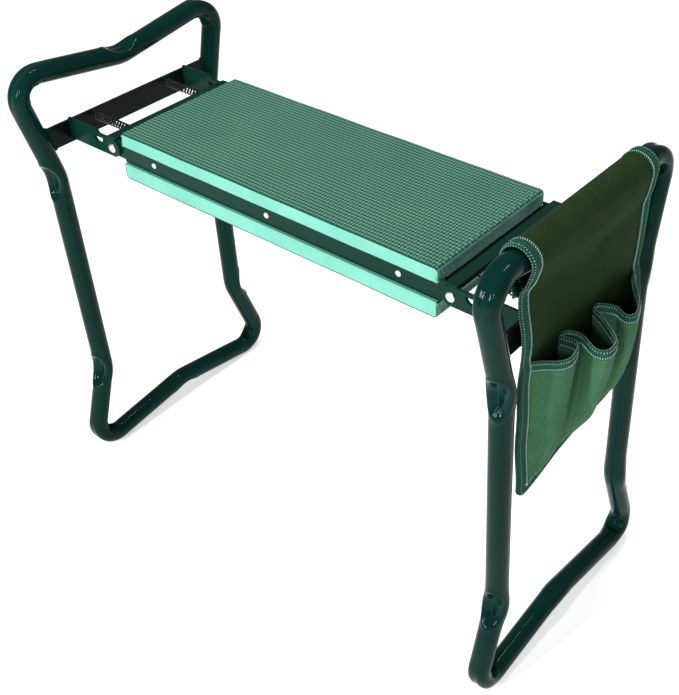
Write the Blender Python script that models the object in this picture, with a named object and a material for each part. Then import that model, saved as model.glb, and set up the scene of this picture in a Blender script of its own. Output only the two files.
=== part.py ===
"""Folding garden kneeler seat with a hanging tool bag.

All sizes are metres, +Z is up and +X runs along the seat from the plain end to the
end that carries the tool bag.  The front of the seat faces -Y.
"""

import math

import bmesh
import bpy
from mathutils import Vector

# ---------------------------------------------------------------- driving sizes
MM = 0.001
GAP = 0.3 * MM                      # assembly gap between touching pieces

# tube loops, one at each end of the seat
TUBE_R = 11 * MM
LOOP_X = 290 * MM                   # loop plane, measured from the seat's middle
FLOOR_MID_Z = 27 * MM
FLOOR_CORNER = (145 * MM, 6 * MM)   # (y, z) before the corner is rounded
LOWER_BEND = (107 * MM, 114 * MM)
UPPER_BEND = (108.5 * MM, 377 * MM)
TOP_CORNER = (139 * MM, 499.5 * MM)
HANDLE_MID_Z = 478 * MM
MID_BEND_R = 50 * MM
CORNER_R = 25 * MM
SIDE_BEND_R = 60 * MM
TUBE_SIDES = 16
ARC_STEP = math.radians(15)

# flat bar welded across each loop
BAR_THICK = 3 * MM
BAR_Z = (407 * MM, 432 * MM)

# pivots and the ears that reach them
PIVOT_X = 218 * MM
PIVOT_Z = 421.5 * MM
EAR_Y = (78.3 * MM, 81.3 * MM)
EAR_TOP = 14 * MM                   # above the pivot, beside the cross bar
EAR_STEP = (21 * MM, 24 * MM)       # outboard of the pivot, where the top edge steps
NOSE_R = 10 * MM
EAR_HOLE_U = 22 * MM
EAR_HOLE_W = 6.3 * MM
EAR_HOLE_R = 7.2 * MM
PIVOT_SHANK_R = 3 * MM
RUNNING_GAP = 0.1 * MM
PIVOT_HEAD = (5 * MM, 2.4 * MM)     # radius, height
PIVOT_TAIL = (4.6 * MM, 1.7 * MM)
WASHER_R = 6 * MM
WASHER_THICK = 0.8 * MM

# pads
PAD_HALF_X = 203.6 * MM
PAD_HALF_Y = 79.5 * MM
UPPER_PAD_Z = (427 * MM, 443.4 * MM)
LOWER_PAD_Z = (390.8 * MM, 408.3 * MM)
PAD_BEVEL = 0.8 * MM

# seat chassis between the pads
RAIL_Y = (76 * MM, 78 * MM)
RAIL_Z = (408.6 * MM, 426.7 * MM)
RAIL_FLANGE_Y = 62 * MM
RAIL_HALF_X = 203.3 * MM
FLANGE_THICK = 2 * MM
LUG_NECK_U = 14 * MM
RIVET_X = (-158 * MM, 0.0, 159 * MM)
RIVET_Z = 419 * MM
RIVET_SHANK_R = 1.6 * MM
RIVET_HEAD = (3.3 * MM, 1.4 * MM)
RIVET_LENGTH = 12 * MM
BOARD_HALF_X = 189.6 * MM
END_MEMBER_X = (190 * MM, 209 * MM)
END_MEMBER_WALL = 2 * MM

# sprung lock bar beside each pad end
LOCK_X = (212 * MM, 224 * MM)
LOCK_Z = (429 * MM, 434 * MM)
LOCK_TONGUE_Z = 432 * MM
LOCK_HALF_Y = 74.5 * MM

# extension springs
SPRING_Y = 50 * MM
SPRING_Z = 427 * MM
SPRING_R = 3.6 * MM
SPRING_WIRE_R = 0.75 * MM
SPRING_TURNS = 10
SPRING_TURN_STEPS = 8
SPRING_END_GAP = 1.4 * MM

# tool bag over the handle bar at the +X end
BAG_Y = (-94 * MM, 90 * MM)
BAG_TOP_Z = 493.6 * MM              # centre of the fold, which runs straight across
BAG_INNER_R = 11.4 * MM
BAG_NECK_DROP = 29.6 * MM           # from the bar's axis down to where the cloth is gathered
BAG_FLAP_X = -1 * MM                # inner faces of the flap and of the hanging side,
BAG_HANG_X = 3 * MM                 # from the loop plane
BAG_WRAP_DEG = (20.6, 16.7)         # how far each side follows the bar's underside
CLOTH = 1.6 * MM
BAG_FLAP_Z = 439 * MM
BAG_BOTTOM_Z = 258 * MM
BAG_CORNER_R = 40 * MM
POCKET_SEAMS_Y = (-94 * MM, -36 * MM, 23 * MM, 90 * MM)
POCKET_MOUTH_Z = 390 * MM
POCKET_BOTTOM_RISE = 4 * MM
POCKET_FOOT = 3.5 * MM              # how far a pocket stands out at its bottom
POCKET_MOUTH = (22 * MM, 38 * MM, 33 * MM)
POCKET_SEAM = 3 * MM

ROUND_SIDES = 16

# ---------------------------------------------------------------- materials
MATERIALS = {
    "tube_enamel": ((0.012, 0.055, 0.045), 0.25, 0.18),
    "bracket_enamel": ((0.010, 0.045, 0.036), 0.25, 0.30),
    "dark_steel": ((0.015, 0.022, 0.020), 0.60, 0.35),
    "zinc_steel": ((0.72, 0.74, 0.75), 1.00, 0.25),
    "eva_foam": ((0.27, 0.83, 0.66), 0.00, 0.75),
    "core_board": ((0.10, 0.07, 0.05), 0.00, 0.80),
    "bag_cloth": ((0.030, 0.055, 0.026), 0.00, 0.85),
}


def make_materials():
    made = {}
    for name, (color, metallic, roughness) in MATERIALS.items():
        material = bpy.data.materials.new(name)
        material.use_nodes = True
        shader = material.node_tree.nodes["Principled BSDF"]
        shader.inputs["Base Color"].default_value = (*color, 1.0)
        shader.inputs["Metallic"].default_value = metallic
        shader.inputs["Roughness"].default_value = roughness
        made[name] = material
    return made


# ---------------------------------------------------------------- scene helpers
def clear_scene():
    for obj in list(bpy.data.objects):
        bpy.data.objects.remove(obj, do_unlink=True)


def make_collection(name):
    collection = bpy.data.collections.new(name)
    bpy.context.scene.collection.children.link(collection)
    return collection


clear_scene()
PARTS = make_collection("garden_kneeler_seat")
CUTTERS = make_collection("cutters")
MATS = make_materials()


def finish_mesh(name, bm, material, origin=(0.0, 0.0, 0.0), smooth=False):
    """Turn a bmesh given in seat coordinates into a named part with its own material."""
    bmesh.ops.recalc_face_normals(bm, faces=bm.faces)
    bmesh.ops.translate(bm, verts=bm.verts, vec=-Vector(origin))
    mesh = bpy.data.meshes.new(name)
    bm.to_mesh(mesh)
    bm.free()
    slot = MATS[material].copy()
    slot.name = name
    mesh.materials.append(slot)
    for polygon in mesh.polygons:
        polygon.use_smooth = smooth
    obj = bpy.data.objects.new(name, mesh)
    obj.location = origin
    PARTS.objects.link(obj)
    return obj


def finish_cutter(name, bm):
    bmesh.ops.recalc_face_normals(bm, faces=bm.faces)
    mesh = bpy.data.meshes.new(name)
    bm.to_mesh(mesh)
    bm.free()
    obj = bpy.data.objects.new(name, mesh)
    obj.hide_render = True
    obj.display_type = "WIRE"
    CUTTERS.objects.link(obj)
    return obj


def combine(target, tool, operation):
    modifier = target.modifiers.new(tool.name, "BOOLEAN")
    modifier.operation = operation
    modifier.solver = "EXACT"
    modifier.object = tool


# ---------------------------------------------------------------- solid builders
def prism(outline, axis, low, high):
    """Extrude a closed 2-D outline between two planes square to the axis."""
    order = {"X": (2, 0, 1), "Y": (0, 2, 1), "Z": (0, 1, 2)}[axis]
    bm = bmesh.new()
    rings = []
    for depth in (low, high):
        ring = []
        for first, second in outline:
            values = (first, second, depth)
            ring.append(bm.verts.new(tuple(values[i] for i in order)))
        rings.append(ring)
    bottom, top = rings
    count = len(outline)
    for i in range(count):
        j = (i + 1) % count
        bm.faces.new((bottom[i], bottom[j], top[j], top[i]))
    bm.faces.new(bottom)
    bm.faces.new(top)
    return bm


def box(x_range, y_range, z_range):
    outline = [
        (x_range[0], y_range[0]),
        (x_range[1], y_range[0]),
        (x_range[1], y_range[1]),
        (x_range[0], y_range[1]),
    ]
    return prism(outline, "Z", z_range[0], z_range[1])


def turned(profile, centre_x, centre_z, side_y, sides=ROUND_SIDES):
    """Spin (radius, distance from the seat's middle) pairs about an axis along Y."""
    bm = bmesh.new()
    rings = []
    for radius, depth in profile:
        ring = []
        for k in range(sides):
            angle = 2 * math.pi * k / sides
            x = centre_x + radius * math.cos(angle)
            z = centre_z + radius * math.sin(angle)
            ring.append(bm.verts.new((x, side_y * depth, z)))
        rings.append(ring)
    for lower, upper in zip(rings[:-1], rings[1:]):
        for k in range(sides):
            j = (k + 1) % sides
            bm.faces.new((lower[k], lower[j], upper[j], upper[k]))
    bm.faces.new(rings[0])
    bm.faces.new(rings[-1])
    return bm


def arc(centre, radius, start_deg, end_deg, steps):
    points = []
    for k in range(steps + 1):
        angle = math.radians(start_deg + (end_deg - start_deg) * k / steps)
        points.append((centre[0] + radius * math.cos(angle), centre[1] + radius * math.sin(angle)))
    return points


def sheet_solid(grid, normals, thickness):
    """Close a rectangular grid of points into a thin solid along the given normals."""
    bm = bmesh.new()
    rows, cols = len(grid), len(grid[0])
    near = [[bm.verts.new(p) for p in row] for row in grid]
    far = []
    for row, normal_row in zip(grid, normals):
        far.append([bm.verts.new(p + n * thickness) for p, n in zip(row, normal_row)])
    for i in range(rows - 1):
        for j in range(cols - 1):
            for layer in (near, far):
                bm.faces.new((layer[i][j], layer[i + 1][j], layer[i + 1][j + 1], layer[i][j + 1]))
    for i in range(rows - 1):
        for j in (0, cols - 1):
            bm.faces.new((near[i][j], near[i + 1][j], far[i + 1][j], far[i][j]))
    for j in range(cols - 1):
        for i in (0, rows - 1):
            bm.faces.new((near[i][j], near[i][j + 1], far[i][j + 1], far[i][j]))
    return bm


# ---------------------------------------------------------------- tube loops
def rounded_path(corners, radii):
    """Closed polyline with each corner replaced by an arc of its own radius."""
    path = []
    count = len(corners)
    for i in range(count):
        here = Vector(corners[i])
        back = (Vector(corners[i - 1]) - here).normalized()
        ahead = (Vector(corners[(i + 1) % count]) - here).normalized()
        inside = math.acos(back.dot(ahead))
        middle = (back + ahead).normalized()
        centre = here + middle * (radii[i] / math.sin(inside / 2))
        start = here + back * (radii[i] / math.tan(inside / 2)) - centre
        end = here + ahead * (radii[i] / math.tan(inside / 2)) - centre
        steps = max(2, math.ceil((math.pi - inside) / ARC_STEP))
        turn = math.pi - inside
        for k in range(steps + 1):
            share = k / steps
            blend = start * math.sin((1 - share) * turn) + end * math.sin(share * turn)
            path.append(centre + blend / math.sin(turn))
    return path


def loop_path():
    """Centreline of one tube loop as (y, z), set down so that it touches the floor."""
    half = [FLOOR_CORNER, LOWER_BEND, UPPER_BEND, TOP_CORNER]
    radii = [CORNER_R, SIDE_BEND_R, SIDE_BEND_R, CORNER_R]
    corners = [(0.0, FLOOR_MID_Z)]
    corners += [(-y, z) for y, z in half]
    corners += [(0.0, HANDLE_MID_Z)]
    corners += list(reversed(half))
    all_radii = [MID_BEND_R] + radii + [MID_BEND_R] + radii[::-1]
    path = rounded_path(corners, all_radii)
    drop = min(point.y for point in path) - TUBE_R
    return [Vector((point.x, point.y - drop)) for point in path]


def loop_tube(x):
    path = loop_path()
    count = len(path)
    bm = bmesh.new()
    rings = []
    for i in range(count):
        along = (path[(i + 1) % count] - path[i - 1]).normalized()
        outward = Vector((along.y, -along.x))
        ring = []
        for k in range(TUBE_SIDES):
            angle = 2 * math.pi * k / TUBE_SIDES
            across = path[i] + outward * (TUBE_R * math.cos(angle))
            ring.append(bm.verts.new((x + TUBE_R * math.sin(angle), across.x, across.y)))
        rings.append(ring)
    for i in range(count):
        ring, following = rings[i], rings[(i + 1) % count]
        for k in range(TUBE_SIDES):
            j = (k + 1) % TUBE_SIDES
            bm.faces.new((ring[k], ring[j], following[j], following[k]))
    return bm


def leg_inner_y(z):
    """Inner face of the upper leg at height z, where the cross bar is welded."""
    run = (TOP_CORNER[0] - UPPER_BEND[0]) / (TOP_CORNER[1] - UPPER_BEND[1])
    centre = UPPER_BEND[0] + (z - UPPER_BEND[1]) * run
    return centre - (TUBE_R + 2 * GAP) * math.sqrt(1 + run * run)


def cross_bar(x):
    low, high = BAR_Z
    outline = [
        (-leg_inner_y(low), low),
        (leg_inner_y(low), low),
        (leg_inner_y(high), high),
        (-leg_inner_y(high), high),
    ]
    return prism(outline, "X", x - BAR_THICK / 2, x + BAR_THICK / 2)


# ---------------------------------------------------------------- ears and pivots
def ear_outline(side):
    end_u = LOOP_X - BAR_THICK / 2 - GAP - PIVOT_X
    points = [
        (end_u, -NOSE_R),
        (end_u, EAR_TOP),
        (EAR_STEP[1], EAR_TOP),
        (EAR_STEP[0], NOSE_R),
    ]
    points += arc((0.0, 0.0), NOSE_R, 90, 270, 12)
    return [(side * (PIVOT_X + u), PIVOT_Z + w) for u, w in points]


def ear_window(side):
    points = arc((EAR_HOLE_U, EAR_HOLE_W), EAR_HOLE_R, 180, 360, 10)
    return [(side * (PIVOT_X + u), PIVOT_Z + w) for u, w in points]


def y_span(side_y, near, far):
    return tuple(sorted((side_y * near, side_y * far)))


def round_cutter(name, centre_x, centre_z, radius, side_y, near, far):
    bm = turned([(radius, near), (radius, far)], centre_x, centre_z, side_y)
    return finish_cutter(name, bm)


def pivot_origin(side):
    return (side * PIVOT_X, 0.0, PIVOT_Z)


def make_ear(name, side, side_y):
    low, high = y_span(side_y, *EAR_Y)
    ear = finish_mesh(name, prism(ear_outline(side), "Y", low, high), "bracket_enamel",
                      pivot_origin(side))
    window = finish_cutter(name + "_window", prism(ear_window(side), "Y", low - MM, high + MM))
    hole = round_cutter(name + "_hole", side * PIVOT_X, PIVOT_Z, PIVOT_SHANK_R + RUNNING_GAP,
                        side_y, EAR_Y[0] - MM, EAR_Y[1] + MM)
    combine(ear, window, "DIFFERENCE")
    combine(ear, hole, "DIFFERENCE")


def dome(radius, height, seat, direction):
    """Profile of a rivet head from its rim to its crown."""
    return [
        (radius, seat),
        (radius, seat + direction * height * 0.35),
        (radius * 0.86, seat + direction * height * 0.72),
        (radius * 0.5, seat + direction * height * 0.96),
        (radius * 0.12, seat + direction * height),
    ]


def make_pivot(name, side, side_y):
    head_seat = EAR_Y[1] + GAP / 2
    washer_inner = RAIL_Y[0] - GAP / 2 - WASHER_THICK
    tail_seat = washer_inner - GAP / 2
    profile = dome(*PIVOT_HEAD, head_seat, 1)[::-1]
    profile += [(PIVOT_SHANK_R, head_seat), (PIVOT_SHANK_R, tail_seat)]
    profile += dome(*PIVOT_TAIL, tail_seat, -1)
    bm = turned(profile, side * PIVOT_X, PIVOT_Z, side_y)
    finish_mesh(name + "_rivet", bm, "zinc_steel", pivot_origin(side))
    washer = turned([(WASHER_R, washer_inner), (WASHER_R, washer_inner + WASHER_THICK)],
                    side * PIVOT_X, PIVOT_Z, side_y)
    ring = finish_mesh(name + "_washer", washer, "zinc_steel", pivot_origin(side))
    hole = round_cutter(name + "_washer_hole", side * PIVOT_X, PIVOT_Z,
                        PIVOT_SHANK_R + RUNNING_GAP, side_y, washer_inner - MM, RAIL_Y[0] + MM)
    combine(ring, hole, "DIFFERENCE")


# ---------------------------------------------------------------- springs and lock bars
def coil(x_start, x_end, y):
    """Helical wire along X with flat-capped ends."""
    total = SPRING_TURNS * SPRING_TURN_STEPS
    centres = []
    for i in range(total + 1):
        angle = 2 * math.pi * i / SPRING_TURN_STEPS
        x = x_start + (x_end - x_start) * i / total
        centres.append(Vector((x, y + SPRING_R * math.cos(angle), SPRING_Z + SPRING_R * math.sin(angle))))
    bm = bmesh.new()
    rings = []
    for i, centre in enumerate(centres):
        along = (centres[min(i + 1, total)] - centres[max(i - 1, 0)]).normalized()
        radial = Vector((0.0, centre.y - y, centre.z - SPRING_Z)).normalized()
        radial = (radial - along * radial.dot(along)).normalized()
        third = along.cross(radial)
        ring = []
        for k in range(6):
            angle = math.pi * k / 3
            offset = radial * math.cos(angle) + third * math.sin(angle)
            ring.append(bm.verts.new(centre + offset * SPRING_WIRE_R))
        rings.append(ring)
    for lower, upper in zip(rings[:-1], rings[1:]):
        for k in range(6):
            j = (k + 1) % 6
            bm.faces.new((lower[k], lower[j], upper[j], upper[k]))
    bm.faces.new(rings[0])
    bm.faces.new(rings[-1])
    return bm


def make_springs(end, side):
    inner = LOCK_X[1] + SPRING_END_GAP
    outer = LOOP_X - BAR_THICK / 2 - SPRING_END_GAP
    for label, side_y in (("front", -1), ("rear", 1)):
        bm = coil(side * inner, side * outer, side_y * SPRING_Y)
        finish_mesh(f"{end}_{label}_spring", bm, "dark_steel", pivot_origin(side), smooth=True)


def make_lock_bar(end, side):
    tongue_y = EAR_Y[1]
    outline = [
        (-LOCK_HALF_Y, LOCK_Z[0]),
        (LOCK_HALF_Y, LOCK_Z[0]),
        (LOCK_HALF_Y, LOCK_TONGUE_Z),
        (tongue_y, LOCK_TONGUE_Z),
        (tongue_y, LOCK_Z[1]),
        (-tongue_y, LOCK_Z[1]),
        (-tongue_y, LOCK_TONGUE_Z),
        (-LOCK_HALF_Y, LOCK_TONGUE_Z),
    ]
    low, high = sorted((side * LOCK_X[0], side * LOCK_X[1]))
    origin = (side * sum(LOCK_X) / 2, 0.0, sum(LOCK_Z) / 2)
    finish_mesh(f"{end}_lock_bar", prism(outline, "X", low, high), "dark_steel", origin)


# ---------------------------------------------------------------- seat chassis
def rail_web_outline():
    """Web of a side rail: a strip with a round pivot lug beyond each pad end."""
    half = [
        (PIVOT_X - LUG_NECK_U, RAIL_Z[0]),
        (PIVOT_X - LUG_NECK_U, PIVOT_Z - NOSE_R),
    ]
    half += [(PIVOT_X + u, PIVOT_Z + w) for u, w in arc((0.0, 0.0), NOSE_R, -90, 90, 12)]
    half += [
        (PIVOT_X - LUG_NECK_U, PIVOT_Z + NOSE_R),
        (PIVOT_X - LUG_NECK_U, RAIL_Z[1]),
    ]
    return half + [(-x, z) for x, z in reversed(half)]


def make_rail(name, side_y):
    low, high = y_span(side_y, *RAIL_Y)
    rail = finish_mesh(name, prism(rail_web_outline(), "Y", low, high), "bracket_enamel")
    flange_y = y_span(side_y, RAIL_FLANGE_Y, RAIL_Y[1] - MM)
    for tag, z_range in (
        ("lower", (RAIL_Z[0], RAIL_Z[0] + FLANGE_THICK)),
        ("upper", (RAIL_Z[1] - FLANGE_THICK, RAIL_Z[1])),
    ):
        flange = finish_cutter(f"{name}_{tag}_flange",
                               box((-RAIL_HALF_X, RAIL_HALF_X), flange_y, z_range))
        combine(rail, flange, "UNION")
    for k, side in enumerate((-1, 1)):
        hole = round_cutter(f"{name}_pivot_hole_{k}", side * PIVOT_X, PIVOT_Z,
                            PIVOT_SHANK_R + RUNNING_GAP, side_y, RAIL_Y[0] - MM, RAIL_Y[1] + MM)
        combine(rail, hole, "DIFFERENCE")
    for k, x in enumerate(RIVET_X):
        hole = round_cutter(f"{name}_rivet_hole_{k}", x, RIVET_Z, RIVET_SHANK_R + GAP / 2,
                            side_y, RAIL_Y[0] - MM, RAIL_Y[1] + MM)
        combine(rail, hole, "DIFFERENCE")


def make_rail_rivets(label, side_y):
    seat = RAIL_Y[1] + GAP / 2
    for place, x in zip(("left", "middle", "right"), RIVET_X):
        profile = dome(*RIVET_HEAD, seat, 1)[::-1]
        profile += [(RIVET_SHANK_R, seat), (RIVET_SHANK_R, seat - RIVET_LENGTH)]
        bm = turned(profile, x, RIVET_Z, side_y, sides=12)
        finish_mesh(f"{label}_rail_{place}_rivet", bm, "zinc_steel")


def make_core_board():
    """Stiff board that fills the chassis; its edges run inside the rails' channels."""
    wide = RAIL_Y[0] - GAP
    narrow = RAIL_FLANGE_Y - GAP
    tongue = (RAIL_Z[0] + FLANGE_THICK + GAP, RAIL_Z[1] - FLANGE_THICK - GAP)
    full = (RAIL_Z[0] + GAP, RAIL_Z[1] - GAP)
    half = [
        (narrow, full[0]),
        (narrow, tongue[0]),
        (wide, tongue[0]),
        (wide, tongue[1]),
        (narrow, tongue[1]),
        (narrow, full[1]),
    ]
    outline = half + [(-y, z) for y, z in reversed(half)]
    board = finish_mesh("core_board", prism(outline, "X", -BOARD_HALF_X, BOARD_HALF_X), "core_board")
    for side_y in (-1, 1):
        for k, x in enumerate(RIVET_X):
            hole = round_cutter(f"board_hole_{side_y}_{k}", x, RIVET_Z, RIVET_SHANK_R + GAP / 2,
                                side_y, RAIL_Y[1] - RIVET_LENGTH - MM, RAIL_Y[1])
            combine(board, hole, "DIFFERENCE")


def make_end_member(end, side):
    low, high = sorted((side * END_MEMBER_X[0], side * END_MEMBER_X[1]))
    z_low = RAIL_Z[0] + FLANGE_THICK + GAP
    z_high = RAIL_Z[1] - FLANGE_THICK - GAP
    half_y = RAIL_Y[0] - 4 * GAP - WASHER_THICK
    member = finish_mesh(f"{end}_end_member", box((low, high), (-half_y, half_y), (z_low, z_high)),
                         "bracket_enamel")
    wall = END_MEMBER_WALL
    inside = finish_cutter(f"{end}_end_member_inside",
                           box((low + wall, high - wall), (-half_y - MM, half_y + MM),
                               (z_low + wall, z_high - wall)))
    combine(member, inside, "DIFFERENCE")


def make_pad(name, z_range):
    bm = box((-PAD_HALF_X, PAD_HALF_X), (-PAD_HALF_Y, PAD_HALF_Y), z_range)
    bmesh.ops.bevel(bm, geom=bm.edges[:], offset=PAD_BEVEL, segments=1, affect="EDGES")
    finish_mesh(name, bm, "eva_foam")


# ---------------------------------------------------------------- tool bag
def bag_bottom(y):
    """Height of the bag's lower edge, rounded up at its rear corner."""
    over = max(0.0, y - (BAG_Y[1] - BAG_CORNER_R))
    return BAG_BOTTOM_Z + BAG_CORNER_R - math.sqrt(BAG_CORNER_R ** 2 - min(over, BAG_CORNER_R) ** 2)


def bag_columns():
    columns = [BAG_Y[0] * (1 - k / 3) for k in range(4)]
    columns += [(BAG_Y[1] - BAG_CORNER_R) * share for share in (0.5, 1.0)]
    for k in range(1, 7):
        angle = math.pi / 2 * k / 6 * 0.9
        columns.append(BAG_Y[1] - BAG_CORNER_R + BAG_CORNER_R * math.sin(angle))
    columns.append(BAG_Y[1])
    return columns


def bar_axis_z(y):
    """Height of the handle bar's centreline, which dips in the middle."""
    straight = [point for point in loop_path() if point.y > HANDLE_MID_Z - MM and point.x > 0]
    inner = min(straight, key=lambda point: point.x)
    outer = min(straight, key=lambda point: abs(point.x - BAG_Y[1]))
    return inner.y + (abs(y) - inner.x) * (outer.y - inner.y) / (outer.x - inner.x)


def bag_section(y):
    """Inner face of the cloth as (x, z), from the flap's hem over the bar to its neck."""
    axis_z = bar_axis_z(y)
    neck_z = axis_z - BAG_NECK_DROP
    points = [(BAG_FLAP_X, BAG_FLAP_Z), (BAG_FLAP_X, neck_z)]
    points += arc((0.0, axis_z), BAG_INNER_R, 180 + BAG_WRAP_DEG[0], 180, 2)
    points += arc((0.0, BAG_TOP_Z), BAG_INNER_R, 180, 0, 12)
    points += arc((0.0, axis_z), BAG_INNER_R, 0, -BAG_WRAP_DEG[1], 2)
    for share in (0.0, 0.25, 0.5, 0.75, 1.0):
        points.append((BAG_HANG_X, neck_z + (bag_bottom(y) - neck_z) * share))
    return points


def section_normals(points):
    last = len(points) - 1
    normals = []
    for i in range(last + 1):
        before, after = points[max(i - 1, 0)], points[min(i + 1, last)]
        normals.append(Vector((before[1] - after[1], 0.0, after[0] - before[0])).normalized())
    return normals


def make_bag_panel():
    """One cloth from the inner flap's hem, over the bar, down to the outer hem."""
    grid, normals = [], []
    for y in bag_columns():
        section = bag_section(y)
        grid.append([Vector((LOOP_X + x, y, z)) for x, z in section])
        normals.append(section_normals(section))
    bm = sheet_solid(grid, normals, CLOTH)
    finish_mesh("bag_panel", bm, "bag_cloth", pivot_origin(1))


def pocket_bulge(across, up, mouth):
    depth = POCKET_FOOT + (mouth - POCKET_FOOT) * math.sin(up * math.pi / 2)
    return depth * math.sin(math.pi * across) ** 0.7


def make_pocket(name, y_low, y_high, mouth):
    face_x = LOOP_X + BAG_HANG_X + CLOTH + GAP
    inner_low, inner_high = y_low + POCKET_SEAM, y_high - POCKET_SEAM
    spread = [0.0, 0.06, 0.18, 0.34, 0.5, 0.66, 0.82, 0.94, 1.0]
    columns = [(y_low, 0.0)]
    columns += [(inner_low + (inner_high - inner_low) * t, t) for t in spread]
    columns += [(y_high, 1.0)]
    rows = []
    for k in range(8):
        up = (k / 7) ** 0.8
        row = []
        for y, across in columns:
            bottom = bag_bottom(y) + POCKET_BOTTOM_RISE
            z = bottom + (POCKET_MOUTH_Z - bottom) * up
            row.append(Vector((face_x + pocket_bulge(across, up, mouth), y, z)))
        rows.append(row)
    outward = Vector((1.0, 0.0, 0.0))
    normals = [[outward] * len(columns) for _ in rows]
    bm = sheet_solid(rows, normals, CLOTH)
    finish_mesh(name, bm, "bag_cloth", pivot_origin(1))


def make_bag():
    make_bag_panel()
    names = ("bag_front_pocket", "bag_middle_pocket", "bag_rear_pocket")
    for name, low, high, mouth in zip(names, POCKET_SEAMS_Y[:-1], POCKET_SEAMS_Y[1:], POCKET_MOUTH):
        make_pocket(name, low + GAP, high - GAP, mouth)


# ---------------------------------------------------------------- assembly
def make_frame(end, side):
    x = side * LOOP_X
    finish_mesh(f"{end}_frame_tube", loop_tube(x), "tube_enamel", pivot_origin(side), smooth=True)
    finish_mesh(f"{end}_cross_bar", cross_bar(x), "dark_steel", pivot_origin(side))
    for label, side_y in (("front", -1), ("rear", 1)):
        make_ear(f"{end}_{label}_ear", side, side_y)
        make_pivot(f"{end}_{label}_pivot", side, side_y)
    make_springs(end, side)


def make_seat():
    make_pad("upper_foam_pad", UPPER_PAD_Z)
    make_pad("lower_foam_pad", LOWER_PAD_Z)
    make_core_board()
    for label, side_y in (("front", -1), ("rear", 1)):
        make_rail(f"{label}_rail", side_y)
        make_rail_rivets(label, side_y)


def centre_on_footprint():
    """Slide everything along X so that the origin is the middle of the bounding box."""
    low = -LOOP_X - TUBE_R
    high = LOOP_X + BAG_HANG_X + 2 * CLOTH + GAP + max(POCKET_MOUTH)
    shift = -(low + high) / 2
    for obj in list(PARTS.objects) + list(CUTTERS.objects):
        obj.location.x += shift


make_seat()
for end_name, end_side in (("left", -1), ("right", 1)):
    make_frame(end_name, end_side)
    make_lock_bar(end_name, end_side)
    make_end_member(end_name, end_side)
make_bag()
centre_on_footprint()
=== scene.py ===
"""Looks of the folding garden kneeler seat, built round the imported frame.

Everything is in metres in the frame's own axes: +X runs along the seat towards the end
with the tool bag, the front faces -Y and +Z is up.  Places come from the frame's nodes.
"""

import math

import bpy
import numpy as np
from mathutils import Matrix, Vector


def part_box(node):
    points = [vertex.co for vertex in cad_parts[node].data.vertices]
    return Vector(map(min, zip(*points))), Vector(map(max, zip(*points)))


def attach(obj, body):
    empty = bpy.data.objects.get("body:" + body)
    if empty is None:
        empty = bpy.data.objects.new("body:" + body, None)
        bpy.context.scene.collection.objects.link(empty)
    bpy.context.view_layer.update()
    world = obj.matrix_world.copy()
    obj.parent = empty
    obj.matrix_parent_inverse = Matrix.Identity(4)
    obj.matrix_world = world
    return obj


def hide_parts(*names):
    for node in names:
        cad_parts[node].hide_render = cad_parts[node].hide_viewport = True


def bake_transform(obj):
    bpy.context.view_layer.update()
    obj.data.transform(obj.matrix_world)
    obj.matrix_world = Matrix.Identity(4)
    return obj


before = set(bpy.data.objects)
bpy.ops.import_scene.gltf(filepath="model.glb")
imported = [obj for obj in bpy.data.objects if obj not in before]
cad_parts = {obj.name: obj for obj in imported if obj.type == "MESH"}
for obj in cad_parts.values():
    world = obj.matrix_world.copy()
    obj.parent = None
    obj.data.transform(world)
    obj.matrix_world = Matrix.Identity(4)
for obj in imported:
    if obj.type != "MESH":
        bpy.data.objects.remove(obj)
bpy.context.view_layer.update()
MM = 0.001


# ---- layout from the frame
def middle(node):
    low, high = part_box(node)
    return (low + high) / 2


def half_x(node):
    low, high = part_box(node)
    return (high.x - low.x) / 2


def span_y(node):
    """Nearest and farthest distance of a node from the middle plane y = 0."""
    low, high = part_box(node)
    return sorted((abs(low.y), abs(high.y)))


SIDES = {"left": -1, "right": 1}
ENDS = {"front": -1, "rear": 1}
SEAT_X = middle("upper_foam_pad").x
LOOP_X = {end: middle(f"{end}_cross_bar").x for end in SIDES}
TUBE_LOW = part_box("left_frame_tube")[0]
TUBE_R = half_x("left_frame_tube")
BAG_LOW, BAG_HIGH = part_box("bag_panel")

# centreline of a tube loop: corners (y, z) of one half before rounding, as in the CAD
FLOOR_MID_Z = 27 * MM
HALF_LOOP = [
    (145 * MM, 6 * MM),
    (107 * MM, 114 * MM),
    (108.5 * MM, 377 * MM),
    (139 * MM, 499.5 * MM),
]
HANDLE_MID_Z = 478 * MM
MID_BEND_R = 50 * MM
HALF_BEND_R = [25 * MM, 60 * MM, 60 * MM, 25 * MM]


# ---- small helpers
def smooth_step(low, high, value):
    t = np.clip((value - low) / (high - low), 0.0, 1.0)
    return t * t * (3 - 2 * t)


def bell(value):
    return np.exp(-(value ** 2))


def unit(vectors):
    return vectors / np.maximum(np.linalg.norm(vectors, axis=-1, keepdims=True), 1e-12)


def lumps(points, scale, seed):
    """Cheap smooth noise, about -1 to 1, at an array of points."""
    total = np.zeros(points.shape[:-1])
    rng = np.random.default_rng(seed)
    for _ in range(6):
        wave = rng.normal(size=3)
        wave *= rng.uniform(0.6, 1.5) / (np.linalg.norm(wave) * scale)
        total += np.sin(points @ wave * 2 * math.pi + rng.uniform(0, 2 * math.pi))
    return total / 3


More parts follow.
